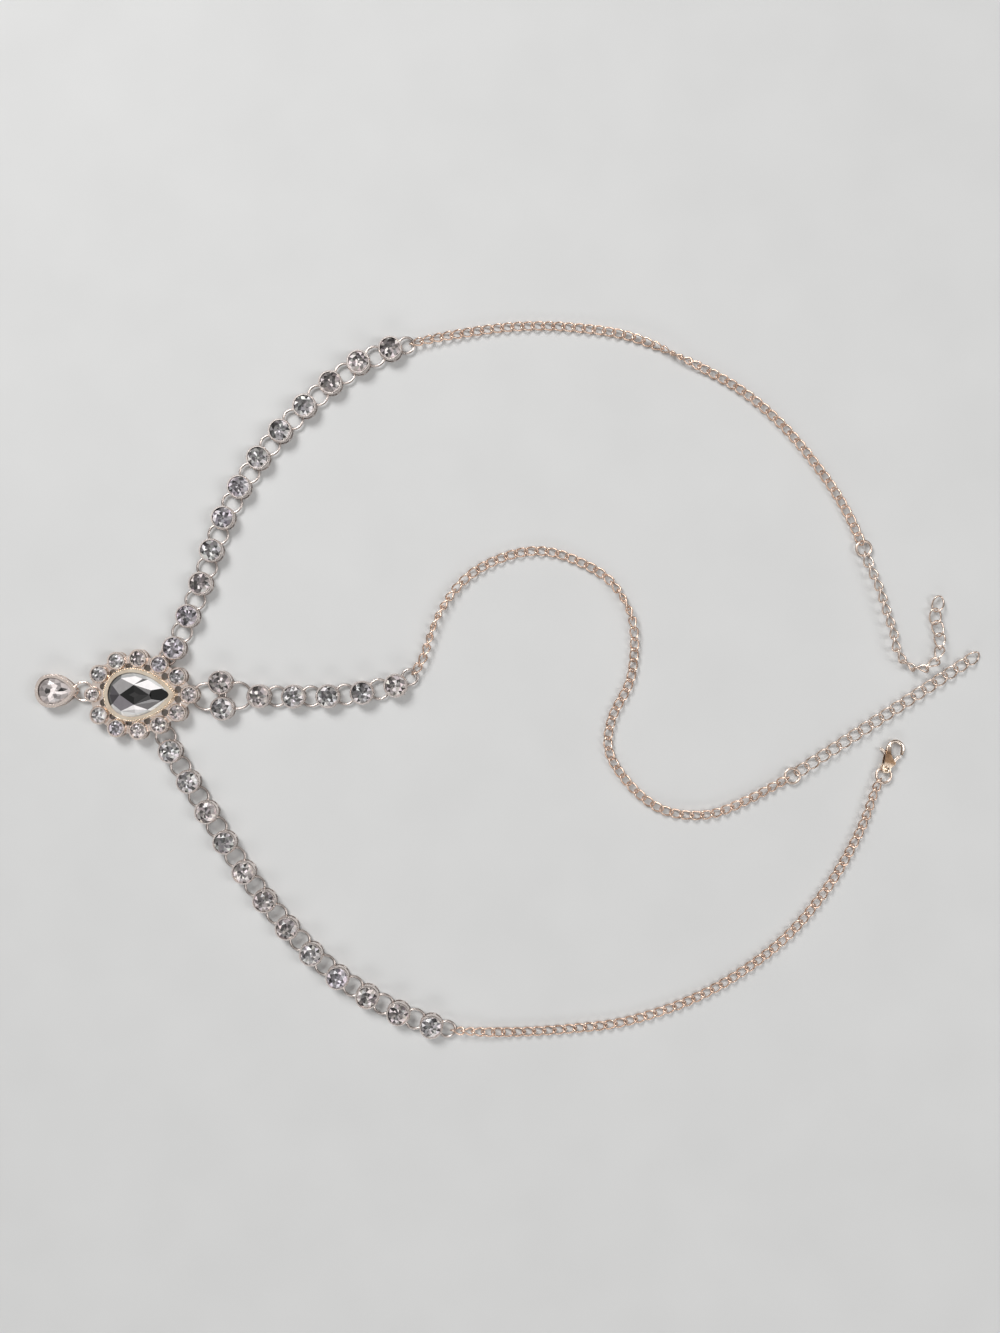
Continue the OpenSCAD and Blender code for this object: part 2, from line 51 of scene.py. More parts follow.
def camera():
    data = bpy.data.cameras.new("camera")
    data.sensor_fit = "HORIZONTAL"
    data.sensor_width = SENSOR
    data.lens = SENSOR * CAMERA_HEIGHT / VIEW_WIDTH
    data.clip_start = CLIP_START
    data.clip_end = CLIP_END
    obj = bpy.data.objects.new("camera", data)
    obj.location = Vector((CAMERA_X, CAMERA_Y, CAMERA_HEIGHT)) * MM
    bpy.context.scene.collection.objects.link(obj)
    bpy.context.scene.camera = obj


camera()


# Materials
def new_material(name):
    """A material with its nodes, its links and its Principled BSDF."""
    mat = bpy.data.materials.new(name)
    mat.use_nodes = True
    return mat, mat.node_tree.nodes, mat.node_tree.links, mat.node_tree.nodes["Principled BSDF"]


def noise(nodes, links, scale, detail):
    """Noise over the object's own coordinates; scale is in lumps per metre."""
    coord = nodes.new("ShaderNodeTexCoord")
    tex = nodes.new("ShaderNodeTexNoise")
    tex.inputs["Scale"].default_value = scale
    tex.inputs["Detail"].default_value = detail
    links.new(coord.outputs["Object"], tex.inputs["Vector"])
    return tex.outputs["Fac"]


def ramp(nodes, links, source, low, high):
    """Colour between two stops; each is (place, colour)."""
    node = nodes.new("ShaderNodeValToRGB")
    for element, (place, colour) in zip(node.color_ramp.elements, (low, high)):
        element.position = place
        element.color = (*colour, 1)
    links.new(source, node.inputs["Fac"])
    return node.outputs["Color"]


def bump(nodes, links, bsdf, source, strength, distance):
    """Gives the shader a relief; distance is its depth in metres."""
    node = nodes.new("ShaderNodeBump")
    node.inputs["Strength"].default_value = strength
    node.inputs["Distance"].default_value = distance
    links.new(source, node.inputs["Height"])
    links.new(node.outputs["Normal"], bsdf.inputs["Normal"])


def math_node(nodes, links, operation, *values):
    """A Math node; each value is a number or the socket that feeds it."""
    node = nodes.new("ShaderNodeMath")
    node.operation = operation
    for socket, value in zip(node.inputs, values):
        if isinstance(value, (int, float)):
            socket.default_value = value
        else:
            links.new(value, socket)
    return node.outputs["Value"]


def axes(nodes, links):
    """The object's own X and Y, in metres."""
    coord = nodes.new("ShaderNodeTexCoord")
    split = nodes.new("ShaderNodeSeparateXYZ")
    links.new(coord.outputs["Object"], split.inputs["Vector"])
    return split.outputs["X"], split.outputs["Y"]


def blend_colours(nodes, links, share, a, b):
    """From a where share is 0 to b where it is 1."""
    node = nodes.new("ShaderNodeMix")
    node.data_type = "RGBA"
    links.new(share, node.inputs["Factor"])
    links.new(a, node.inputs["A"])
    links.new(b, node.inputs["B"])
    return node.outputs["Result"]


# Lumps per metre and detail of the platings' patches of colour, smears of polish and pits. Then the
# noise between which the colour and the polish change, and the depth of a pit
PATCHES, SMEARS, PITS = (260, 4), (900, 3), (5200, 2)
PATCH_EDGES, SMEAR_EDGES = (0.32, 0.68), (0.3, 0.7)
PIT_DEPTH = 0.05


def plating(name, dark, light, rough_low, rough_high, grain, *zones):
    """Plated metal: uneven colour, patchy polish and the fine pits of a casting or drawn wire.
    A zone is (dark, light, mask): where mask(nodes, links) is 1, its two colours take over."""
    mat, nodes, links, bsdf = new_material(name)
    bsdf.inputs["Metallic"].default_value = 1.0
    patches = noise(nodes, links, *PATCHES)
    colour = ramp(nodes, links, patches, *zip(PATCH_EDGES, (dark, light)))
    for zone_dark, zone_light, mask in zones:
        other = ramp(nodes, links, patches, *zip(PATCH_EDGES, (zone_dark, zone_light)))
        colour = blend_colours(nodes, links, mask(nodes, links), colour, other)
    links.new(colour, bsdf.inputs["Base Color"])
    smears = noise(nodes, links, *SMEARS)
    polish = nodes.new("ShaderNodeMapRange")
    polish.inputs["From Min"].default_value = SMEAR_EDGES[0]
    polish.inputs["From Max"].default_value = SMEAR_EDGES[1]
    polish.inputs["To Min"].default_value = rough_low
    polish.inputs["To Max"].default_value = rough_high
    links.new(smears, polish.inputs["Value"])
    links.new(polish.outputs["Result"], bsdf.inputs["Roughness"])
    pits = noise(nodes, links, *PITS)
    bump(nodes, links, bsdf, pits, grain, PIT_DEPTH * MM)
    return mat


# Pear outlines, point at +X; PEAR is how much narrower they get towards the point
PEAR = 0.6


def peak(m):
    """The greatest half width of a pear outline before it is scaled."""
    t = math.acos(-m / (2 + m))
    return math.sin(t) * math.sin(t / 2) ** m


def pear_at(length, width, t):
    """A point of the pear outline; t runs from 0 to a full turn."""
    reach = math.sin(t) * abs(math.sin(t / 2)) ** PEAR / peak(PEAR)
    return length / 2 * math.cos(t), width / 2 * reach


# The large bezel, seen from above: length, width, place of its middle, and over what width its
# colour fades at the edge
BEZEL_LEN, BEZEL_WIDTH, BEZEL_X = 20.9, 15.5, 0.2
SOFT_EDGE = 0.3


def in_bezel(nodes, links):
    """1 inside the bezel's outline, 0 outside it."""
    x, y = axes(nodes, links)
    half = BEZEL_LEN / 2 * MM
    along = math_node(nodes, links, "MULTIPLY_ADD", x, 1 / half, -BEZEL_X * MM / half)
    t = math_node(nodes, links, "ARCCOSINE", along)
    half_sine = math_node(nodes, links, "SINE", math_node(nodes, links, "MULTIPLY", t, 0.5))
    narrow = math_node(nodes, links, "POWER", half_sine, PEAR)
    reach = math_node(nodes, links, "MULTIPLY", math_node(nodes, links, "SINE", t), narrow)
    aside = math_node(nodes, links, "MULTIPLY", math_node(nodes, links, "ABSOLUTE", y), -1.0)
    depth = math_node(nodes, links, "MULTIPLY_ADD", reach, BEZEL_WIDTH / 2 * MM / peak(PEAR), aside)
    node = nodes.new("ShaderNodeMapRange")
    node.inputs["From Max"].default_value = SOFT_EDGE * MM
    links.new(depth, node.inputs["Value"])
    return node.outputs["Result"]


# The clasp's eye and the direction from it to the hook, degrees from the X axis
CLASP_EYE, CLASP_TURN = (210.4, -20.9), 74


def along_clasp(start, end):
    """A mask that turns from 0 to 1 between two distances from the clasp's eye."""
    def mask(nodes, links):
        x, y = axes(nodes, links)
        c, s = math.cos(math.radians(CLASP_TURN)), math.sin(math.radians(CLASP_TURN))
        begin = -(CLASP_EYE[0] * c + CLASP_EYE[1] * s) * MM
        part_run = math_node(nodes, links, "MULTIPLY_ADD", x, c, begin)
        run = math_node(nodes, links, "MULTIPLY_ADD", y, s, part_run)
        node = nodes.new("ShaderNodeMapRange")
        node.inputs["From Min"].default_value = start * MM
        node.inputs["From Max"].default_value = end * MM
        links.new(run, node.inputs["Value"])
        return node.outputs["Result"]
    return mask


# Darkest and lightest colour of the platings that are used more than once or blended
SETTING_TONES = (0.82, 0.70, 0.63), (0.95, 0.84, 0.77)
CREAM_TONES = (0.86, 0.70, 0.54), (1.0, 0.87, 0.71)
HOOK_TONES = (0.80, 0.67, 0.57), (0.94, 0.81, 0.71)
EYE_TONES = (0.84, 0.67, 0.52), (0.98, 0.81, 0.65)
# Where the clasp's colour changes between its body's painted shade and its eye and hook, in
# millimetres from the middle of its eye
EYE_FADE, HOOK_FADE = (1.9, 0.9), (4.6, 6.4)

# Platings: name, darkest and lightest colour, least and greatest roughness, strength of the pits
ROSE = plating("rose_plating", *SETTING_TONES, 0.14, 0.30, 0.35)
SETTING = plating("setting_plating", *SETTING_TONES, 0.14, 0.30, 0.35, (*CREAM_TONES, in_bezel))
CREAM = plating("cream_plating", *CREAM_TONES, 0.14, 0.28, 0.2)
CURB = plating("curb_plating", (0.70, 0.51, 0.40), (0.86, 0.66, 0.54), 0.26, 0.40, 0.30)
PALE = plating("pale_plating", (0.76, 0.68, 0.64), (0.91, 0.83, 0.79), 0.20, 0.34, 0.25)
# Ring plating: the pale plating painted darker, painted shade that keeps the thin wires dim
RING = plating("ring_plating", (0.47, 0.41, 0.38), (0.63, 0.56, 0.52), 0.24, 0.38, 0.25)
WARM = plating("warm_plating", (0.69, 0.55, 0.46), (0.84, 0.70, 0.61), 0.26, 0.40, 0.25)
# Clasp body painted dark brown as painted shade and dark reflection; eye and hook lighter
CLASP = plating("clasp_plating", (0.24, 0.14, 0.08), (0.45, 0.29, 0.18), 0.16, 0.30, 0.08,
                (*EYE_TONES, along_clasp(*EYE_FADE)), (*HOOK_TONES, along_clasp(*HOOK_FADE)))
LEVER = plating("lever_plating", *HOOK_TONES, 0.16, 0.30, 0.08)


# Painted glints inside a stone: patches of light, to the metre; and how strongly the glass bends
# light
GLINTS = 900
GLASS_IOR = 1.5


def crystal(name, rough, dim, bright):
    """Foil-backed glass: each facet's tone is a painted reflection stored on its face, and painted
    glints, patches of light inside the stone, make it from dim to bright times as strong."""
    mat, nodes, links, bsdf = new_material(name)
    stored = nodes.new("ShaderNodeAttribute")
    stored.attribute_name = "tone"
    coord = nodes.new("ShaderNodeTexCoord")
    glints = nodes.new("ShaderNodeTexVoronoi")
    glints.inputs["Scale"].default_value = GLINTS
    links.new(coord.outputs["Object"], glints.inputs["Vector"])
    level = nodes.new("ShaderNodeMapRange")
    level.inputs["To Min"].default_value = dim
    level.inputs["To Max"].default_value = bright
    links.new(glints.outputs["Color"], level.inputs["Value"])
    product = nodes.new("ShaderNodeVectorMath")
    product.operation = "SCALE"
    links.new(stored.outputs["Color"], product.inputs["Vector"])
    links.new(level.outputs["Result"], product.inputs["Scale"])
    links.new(product.outputs["Vector"], bsdf.inputs["Base Color"])
    bsdf.inputs["Roughness"].default_value = rough
    bsdf.inputs["IOR"].default_value = GLASS_IOR
    return mat


CRYSTAL = crystal("crystal", 0.08, 0.74, 1.22)
CLEAR_CRYSTAL = crystal("clear_crystal", 0.06, 0.93, 1.05)


# Floor: half its width, how far it lies under the part, scale and detail of its shades, its
# roughness, and its two colours with the noise at which each begins
FLOOR_HALF, FLOOR_DROP = 3000, 0.05
FLOOR_CLOUDS, FLOOR_ROUGH = (40, 2), 0.7
FLOOR_TONES = (0.3, (0.62, 0.62, 0.615)), (0.7, (0.64, 0.64, 0.635))


def floor():
    half = FLOOR_HALF * MM
    corners = [(-half, -half, 0), (half, -half, 0), (half, half, 0), (-half, half, 0)]
    mesh = bpy.data.meshes.new("floor")
    mesh.from_pydata(corners, [], [(0, 1, 2, 3)])
    obj = bpy.data.objects.new("floor", mesh)
    obj.location.z = -FLOOR_DROP * MM
    bpy.context.scene.collection.objects.link(obj)
    mat, nodes, links, bsdf = new_material("floor")
    bsdf.inputs["Roughness"].default_value = FLOOR_ROUGH
    tint = ramp(nodes, links, noise(nodes, links, *FLOOR_CLOUDS), *FLOOR_TONES)
    links.new(tint, bsdf.inputs["Base Color"])
    mesh.materials.append(mat)


# Soft lights: name, place and size in metres, power in watts
LIGHTS = [
    ("key", (-0.45, 0.75, 0.9), (0.5, 0.5), 12),
    ("fill", (0.95, -0.1, 0.8), (0.4, 0.6), 4.2),
    ("low", (0.0, -0.9, 0.45), (0.8, 0.25), 2.4),
    ("above", (0.1, 0.0, 0.9), (1.3, 1.1), 2.2),
]
WORLD_COLOUR, WORLD_STRENGTH = (0.82, 0.81, 0.80, 1), 0.12


def area_light(name, place, size, power):
    """A rectangle of light that faces the middle of the picture."""
    data = bpy.data.lights.new(name, "AREA")
    data.shape = "RECTANGLE"
    data.size, data.size_y = size
    data.energy = power
    obj = bpy.data.objects.new(name, data)
    obj.location = place
    aim = Vector((CAMERA_X * MM, CAMERA_Y * MM, 0)) - obj.location
    obj.rotation_euler = aim.to_track_quat("-Z", "Y").to_euler()
    bpy.context.scene.collection.objects.link(obj)


def lights():
    for light in LIGHTS:
        area_light(*light)
    world = bpy.data.worlds.new("world")
    bpy.context.scene.world = world
    world.use_nodes = True
    background = world.node_tree.nodes["Background"]
    background.inputs["Color"].default_value = WORLD_COLOUR
    background.inputs["Strength"].default_value = WORLD_STRENGTH
    bpy.context.scene.view_settings.view_transform = "Standard"


floor()
lights()


# Pieces
def make(name, verts, faces, mat, replaced, tones=None):
    """Makes a piece that rides on the chain. With tones, its faces are flat and have one each."""
    mesh = bpy.data.meshes.new(name)
    mesh.from_pydata([(x * MM, y * MM, z * MM) for x, y, z in verts], [], faces)
    mesh.update()
    mesh.polygons.foreach_set("use_smooth", [not tones] * len(faces))
    if tones:
        layer = mesh.color_attributes.new("tone", "FLOAT_COLOR", "CORNER")
        for poly, colour in zip(mesh.polygons, tones):
            for corner in poly.loop_indices:
                layer.data[corner].color = (*colour, 1)
    mesh.materials.append(mat)
    obj = bpy.data.objects.new(name, mesh)
    bpy.context.scene.collection.objects.link(obj)
    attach(obj, "chain")
    if replaced:
        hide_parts(*replaced)


# Straight steps between two points of a route
ROUTE_STEPS = 8


def bend(a, b, c, d, u):
    """A point between b and c, at share u, of the smooth curve through a, b, c and d."""
    return [0.5 * (2 * q + (r - p) * u + (2 * p - 5 * q + 4 * r - s) * u * u
                   + (3 * q - p - 3 * r + s) * u ** 3) for p, q, r, s in zip(a, b, c, d)]


class Route:
    """A smooth line through points, with places and headings by length."""

    def __init__(self, points):
        first = [2 * a - b for a, b in zip(points[0], points[1])]
        last = [2 * a - b for a, b in zip(points[-1], points[-2])]
        q = [first, *points, last]
        self.line = [bend(*q[i - 1:i + 3], k / ROUTE_STEPS)
                     for i in range(1, len(points)) for k in range(ROUTE_STEPS)]
        self.line.append(list(points[-1]))
        self.marks = [0]
        for a, b in zip(self.line, self.line[1:]):
            self.marks.append(self.marks[-1] + math.dist(a, b))
        self.length = self.marks[-1]

    def at(self, s):
        """The point at length s."""
        s = min(max(s, 0), self.length)
        i = next((k for k in range(1, len(self.marks)) if self.marks[k] >= s), len(self.marks) - 1)
        u = (s - self.marks[i - 1]) / (self.marks[i] - self.marks[i - 1])
        return [a + (b - a) * u for a, b in zip(self.line[i - 1], self.line[i])]

    def heading(self, s, d):
        """Direction of the line at length s, taken between d before it and d after it."""
        a, b = self.at(s - d), self.at(s + d)
        return math.atan2(b[1] - a[1], b[0] - a[0])


# Routes of the chains, as in the part's source
UPPER_CURB = [[74.95, 98.7], [79, 99.8], [90, 102], [105, 104], [120, 104], [137, 101.5],
              [152, 95.5], [169, 86.5], [182, 75.5], [193, 62], [199.5, 51.5], [204.2, 41.3]]
MIDDLE_CURB = [[75.9, 4.9], [79.5, 10], [84, 22.5], [92, 33], [103, 39], [114, 40.5], [125, 37],
               [133.5, 31], [139, 20], [138.5, 5], [133, -7], [132.5, -17], [139.5, -27],
               [148.5, -33], [160, -34], [171, -30], [184, -23]]
LOWER_CURB = [[86.5, -94.5], [90, -95], [105, -95.5], [122, -94.5], [137, -92.5], [154, -87],
              [169, -79], [183, -68], [194.5, -54], [203, -39], [207.5, -27], [209.8, -22.9]]
UPPER_EXTENSION = [[204.2, 41.3], [205.6, 37], [208.5, 30], [210.4, 24], [212.5, 17.5],
                   [213.4, 13], [216, 8.8], [220.3, 7.3], [224.2, 9.4], [225.5, 13.5],
                   [225.2, 18], [224.4, 21.8], [225.2, 25.6]]
MIDDLE_EXTENSION = [[184, -23], [200, -12.6], [218, -0.9], [235, 10.2]]

# Roll of the links about the line of the chain, degrees against length
UPPER_ROLL = [[0, -30], [3, -30], [20, 0], [51, 0], [71, 50], [81, 135], [88, 180], [130, 180],
              [151, 210]]
LOWER_ROLL = [[0, -70], [6, -70], [16, -10], [20, 0], [130, 0], [151, 30]]
MIDDLE_ROLL = [[0, -30], [8, -40], [14, -75], [26, -120], [36, -180], [74, -180], [98, -360],
               [150, -360], [190, -330]]
UPPER_EXT_ROLL = [[0, -20], [8, -45], [30, -45], [36, -70], [46, -70], [56, -15]]
MIDDLE_EXT_ROLL = [[0, -15], [60, 0]]

# Wire of every link. Then pitch or count, how far the first link's middle lies from the route's
# end, width, curl out of the flat, and how much longer a link is than its pitch and wire
WIRE = 0.5
CURB_PITCH, CURB_REACH, CURB_WIDTH, CURB_TWIST, CURB_SLACK = 2.92, 2.9, 2.75, 0.56, 0.35
EXT_COUNT, EXT_REACH, EXT_WIDTH, EXT_TWIST, EXT_SLACK = 17, 3.25, 3.5, 0.64, 0.4
# Steps round a link and sides of its wire
LINK_STEPS, LINK_SIDES = 28, 10


def lookup(s, table):
    """The value at length s of a table of (length, value)."""
    for (a, p), (b, q) in zip(table, table[1:]):
        if s <= b:
            return p + (q - p) * max(0, s - a) / (b - a)
    return table[-1][1]


def link(place, heading, length, width, twist, roll):
    """One twisted link: a round wire along a curled oval, its lowest point on the floor."""
    cr, sr = math.cos(math.radians(roll)), math.sin(math.radians(roll))
    centre = []
    for j in range(LINK_STEPS):
        t = 2 * math.pi * j / LINK_STEPS
        y, z = width / 2 * math.sin(t), twist * math.sin(2 * t)
        centre.append(Vector((length / 2 * math.cos(t), y * cr - z * sr, y * sr + z * cr)))
    lift = WIRE / 2 - min(c.z for c in centre)
    ch, sh = math.cos(heading), math.sin(heading)
    verts, faces = [], []
    for j, c in enumerate(centre):
        ahead = (centre[(j + 1) % LINK_STEPS] - centre[j - 1]).normalized()
        u = ahead.cross(Vector((0, -sr, cr))).normalized()
        v = u.cross(ahead)
        for k in range(LINK_SIDES):
            a = 2 * math.pi * k / LINK_SIDES
            q = c + WIRE / 2 * (math.cos(a) * u + math.sin(a) * v)
            x, y = q.x * ch - q.y * sh, q.x * sh + q.y * ch
            verts.append((place[0] + x, place[1] + y, q.z + lift))
    for j in range(LINK_STEPS):
        here, there = LINK_SIDES * j, LINK_SIDES * ((j + 1) % LINK_STEPS)
        for k in range(LINK_SIDES):
            n = (k + 1) % LINK_SIDES
            faces.append((here + k, there + k, there + n, here + n))
    return verts, faces


def chain(name, points, first, last, count, width, twist, slack, roll, mat):
    """Interlocking links along a route, in place of the CAD node of that name."""
    route = Route(points)
    pitch = (route.length - first - last) / (count - 1)
    verts, faces = [], []
    for i in range(count):
        s = first + i * pitch
        v, f = link(route.at(s), route.heading(s, pitch / 2), pitch + WIRE + slack,
                    width - WIRE, twist, lookup(s, roll))
        faces += [tuple(n + len(verts) for n in face) for face in f]
        verts += v
    make(name + "_links", verts, faces, mat, [name])


def curb_chain(name, points, roll):
    """A fine chain between two rings, with as many links as its length holds."""
    count = round((Route(points).length - 2 * CURB_REACH) / CURB_PITCH) + 1
    chain(name, points, CURB_REACH, CURB_REACH, count, CURB_WIDTH, CURB_TWIST, CURB_SLACK, roll,
          CURB)


def extension(name, points, roll):
    """A chain with a free end: its last link lies on the end of its route."""
    chain(name, points, EXT_REACH, 0, EXT_COUNT, EXT_WIDTH, EXT_TWIST, EXT_SLACK, roll,
          WARM)


curb_chain("upper_curb_chain", UPPER_CURB, UPPER_ROLL)
curb_chain("middle_curb_chain", MIDDLE_CURB, MIDDLE_ROLL)
curb_chain("lower_curb_chain", LOWER_CURB, LOWER_ROLL)
extension("upper_extension_chain", UPPER_EXTENSION, UPPER_EXT_ROLL)
extension("middle_extension_chain", MIDDLE_EXTENSION, MIDDLE_EXT_ROLL)


# CAD nodes that keep their shape, and their platings
NODE_MATERIALS = {
    SETTING: ["medallion_setting"],
    ROSE: ["drop_ring", "drop_setting"],
    PALE: ["upper_strand_cups", "lower_strand_cups", "middle_strand_cups"],
    RING: ["upper_strand_rings", "lower_strand_rings", "middle_strand_rings"],
    WARM: ["upper_jump_ring", "middle_jump_ring", "clasp_jump_ring"],
    CLASP: ["clasp_body"],
    LEVER: ["clasp_lever"],
}
for mat, names in NODE_MATERIALS.items():
    for name in names:
        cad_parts[name].data.materials.clear()
        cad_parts[name].data.materials.append(mat)


# Settings: corners closer than WELD_GAP are joined, faces within FLAT degrees are joined, and edges
# sharper than SHARP degrees are rounded by EDGE
WELD_GAP, FLAT, SHARP, EDGE = 0.002, 1, 35, 0.12
# Clasp: size of the grains of its surface, and how often and how strongly it is smoothed
CAST_GRAIN, CAST_PASSES, CAST_FACTOR = 0.06, 10, 0.5


def soften(name):
    """Rounds the sharp edges of a setting by a small width."""
    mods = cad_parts[name].modifiers
    weld = mods.new("joined", "WELD")
    weld.merge_threshold = WELD_GAP * MM
    planes = mods.new("planes", "DECIMATE")
    planes.decimate_type = "DISSOLVE"
    planes.angle_limit = math.radians(FLAT)
    edges = mods.new("edges", "BEVEL")
    edges.width = EDGE * MM
    edges.segments = 2
    edges.limit_method = "ANGLE"
    edges.angle_limit = math.radians(SHARP)
    edges.harden_normals = True


def cast(name):
    """Turns a small part into a casting: an even surface, smoothed until no edge is sharp."""
    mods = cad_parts[name].modifiers
    skin = mods.new("skin", "REMESH")
    skin.mode = "VOXEL"
    skin.voxel_size = CAST_GRAIN * MM
    skin.use_smooth_shade = True
    smooth = mods.new("smooth", "SMOOTH")
    smooth.factor = CAST_FACTOR
    smooth.iterations = CAST_PASSES


for name in ("medallion_setting", "drop_setting", "upper_strand_cups", "lower_strand_cups",
             "middle_strand_cups"):
    soften(name)
for name in ("clasp_body", "clasp_lever"):
    cast(name)


# Beading along the large bezel's edge: a bead's diameter, the pitch, and the pear line on which the
# beads sit, with its length, width, place of its middle and height
BEAD, BEAD_PITCH = 0.58, 0.62
BEAD_RING = (20.0, 14.6, 0.15, 3.27)
# Steps of that line, and rows of faces and sides of a bead
LINE_STEPS, BEAD_ROWS, BEAD_SIDES = 720, 6, 10


def bead(x, y, z):
    """A small closed ball."""
    r = BEAD / 2
    verts = [(x, y, z + r)]
    for i in range(1, BEAD_ROWS):
        a = math.pi * i / BEAD_ROWS
        for k in range(BEAD_SIDES):
            b = 2 * math.pi * k / BEAD_SIDES
            out = r * math.sin(a)
            verts.append((x + out * math.cos(b), y + out * math.sin(b), z + r * math.cos(a)))
    verts.append((x, y, z - r))
    last = len(verts) - 1
    faces = [(0, 1 + k, 1 + (k + 1) % BEAD_SIDES) for k in range(BEAD_SIDES)]
    for i in range(BEAD_ROWS - 2):
        for k in range(BEAD_SIDES):
            a, b = 1 + i * BEAD_SIDES + k, 1 + i * BEAD_SIDES + (k + 1) % BEAD_SIDES
            faces.append((a, a + BEAD_SIDES, b + BEAD_SIDES, b))
    lowest = last - BEAD_SIDES
    faces += [(last, lowest + (k + 1) % BEAD_SIDES, lowest + k) for k in range(BEAD_SIDES)]
    return verts, faces


def beading():
    """The row of small beads, evenly spaced along its line."""
    length, width, x0, z = BEAD_RING
    line = [pear_at(length, width, 2 * math.pi * i / LINE_STEPS) for i in range(LINE_STEPS + 1)]
    marks = [0]
    for a, b in zip(line, line[1:]):
        marks.append(marks[-1] + math.dist(a, b))
    count = round(marks[-1] / BEAD_PITCH)
    verts, faces = [], []
    i = 0
    for k in range(count):
        while marks[i + 1] <= marks[-1] * k / count:
            i += 1
        v, f = bead(line[i][0] + x0, line[i][1], z)
        faces += [tuple(n + len(verts) for n in face) for face in f]
        verts += v
    make("medallion_bezel_beads", verts, faces, CREAM, [])


beading()


# Cut stones. Each is one closed mesh; every facet carries a painted reflection, the tone that its
# foil throws back
def tone(grey, tint=(1, 1, 1)):
    """A display grey from 0 to 255, with a tint, as linear light."""
    return tuple(min(1, (grey / 255) ** 2.2 * t) for t in tint)


# Tints of the painted light in the stones
CLEAR, LILAC, BLUSH = (1.02, 0.98, 0.98), (1.0, 0.93, 1.0), (1.05, 0.95, 0.93)
# Height of the narrow band round a stone's widest part
GIRDLE = 0.25


def islands(node):
    """Lowest and highest corner of each separate solid of a CAD node, in millimetres."""
    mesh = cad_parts[node].data
    spot = [tuple(round(c / MM, 3) for c in v.co) for v in mesh.vertices]
    group = {p: p for p in spot}

    def top(p):
        while group[p] != p:
            group[p] = group[group[p]]
            p = group[p]
        return p

    for poly in mesh.polygons:
        first = top(spot[poly.vertices[0]])
        for v in poly.vertices[1:]:
            group[top(spot[v])] = first
    solids = {}
    for p in group:
        solids.setdefault(top(p), []).append(p)
    boxes = [(Vector(map(min, zip(*ps))), Vector(map(max, zip(*ps)))) for ps in solids.values()]
    return sorted(boxes, key=lambda b: (round(b[0].x, 2), round(b[0].y, 2)))


class Facets:
    """Collects facets by their corners, sharing corners that coincide."""

    def __init__(self):
        self.verts, self.faces, self.tones, self.index = [], [], [], {}

    def add(self, corners, colour):
        face = []
        for c in corners:
            key = tuple(round(v, 4) for v in c)
            if key not in self.index:
                self.index[key] = len(self.verts)
                self.verts.append(key)
            if self.index[key] not in face:
                face.append(self.index[key])
        self.faces.append(face)
        self.tones.append(colour)

    def make(self, name, replaced, mat):
        make(name, self.verts, self.faces, mat, [replaced], self.tones)


# Shares of a brilliant's width: its table, the ring of corners between table and girdle, and the
# small star in the table. Then how high up the crown that ring lies, and how high a round stone's
# crown is beside its width
TABLE, MIDDLE, HEART = 0.55, 0.8, 0.24
MIDDLE_RISE = 0.58
CROWN = 0.16
# Kites of a brilliant, and how far from a facet's middle the shades of its two halves are taken:
# in the table in radians, in a kite as a share of the turn from one kite to the next
FOLD = 8
TABLE_SPLIT, KITE_SPLIT = 0.2, 0.2


def brilliant(facets, outline, place, z_low, z_girdle, z_top, shade):
    """A round or pear brilliant: outline(k, t) gives a point at share k of its girdle.
    shade(kind, t) gives each facet's painted reflection from where it lies."""
    def ring(k, count, z, start=0):
        out = []
        for i in range(count):
            x, y = outline(k, 2 * math.pi * (i + start) / count)
            out.append((place[0] + x, place[1] + y, z))
        return out

    def shade_at(kind, kite):
        return shade(kind, 2 * math.pi * kite / FOLD)

    x, y = outline(0, 0)
    heart = (place[0] + x, place[1] + y, z_top)
    girdle_top = z_girdle + GIRDLE
    inner = ring(HEART, FOLD, z_top, 0.5)
    corners = ring(TABLE, FOLD, z_top)
    edges = [tuple((a + b) / 2 for a, b in zip(corners[i], corners[(i + 1) % FOLD]))
             for i in range(FOLD)]
    mid = ring(MIDDLE, FOLD, girdle_top + (z_top - girdle_top) * MIDDLE_RISE, 0.5)
    upper = ring(1, 2 * FOLD, girdle_top)
    lower = ring(1, 2 * FOLD, z_girdle)
    tip = (heart[0], heart[1], z_low)
    for i in range(FOLD):
        j, t = (i + 1) % FOLD, 2 * math.pi * (i + 0.5) / FOLD
        facets.add([heart, inner[i - 1], inner[i]], shade_at("heart", i))
        facets.add([inner[i - 1], corners[i], edges[i], inner[i]], shade("table", t - TABLE_SPLIT))
        facets.add([inner[i], edges[i], corners[j]], shade("table", t + TABLE_SPLIT))
        facets.add([corners[i], mid[i], corners[j], edges[i]], shade("star", t))
        facets.add([corners[i], mid[i - 1], upper[2 * i]], shade_at("kite", i - KITE_SPLIT))
        facets.add([corners[i], upper[2 * i], mid[i]], shade_at("kite", i + KITE_SPLIT))
        facets.add([mid[i], upper[2 * i], upper[2 * i + 1]], shade_at("rim", i + 0.25))
        facets.add([mid[i], upper[2 * i + 1], upper[2 * j]], shade_at("rim", i + 0.75))
    for i in range(2 * FOLD):
        j, t = (i + 1) % (2 * FOLD), 2 * math.pi * (i + 0.5) / (2 * FOLD)
        facets.add([upper[i], lower[i], lower[j], upper[j]], shade("wall", t))
        facets.add([lower[i], tip, lower[j]], shade("back", t))


# Painted reflections of a rhinestone's facets: the darkest and the brightest grey of each kind
STONE_GREYS = {"heart": (80, 172), "table": (78, 160), "star": (94, 186), "kite": (104, 198),
               "rim": (132, 222), "wall": (120, 150), "back": (90, 120)}
# Share of facets with a painted white glint and of those painted dark, and the dark ones' greys
SPARKLE = {"heart": 0.10, "table": 0.10, "star": 0.14, "kite": 0.16, "rim": 0.34}
SHADED, SHADED_GREYS = 0.17, (60, 92)
# Greys of a facet's painted glint
FLASH_GREYS = 228, 255
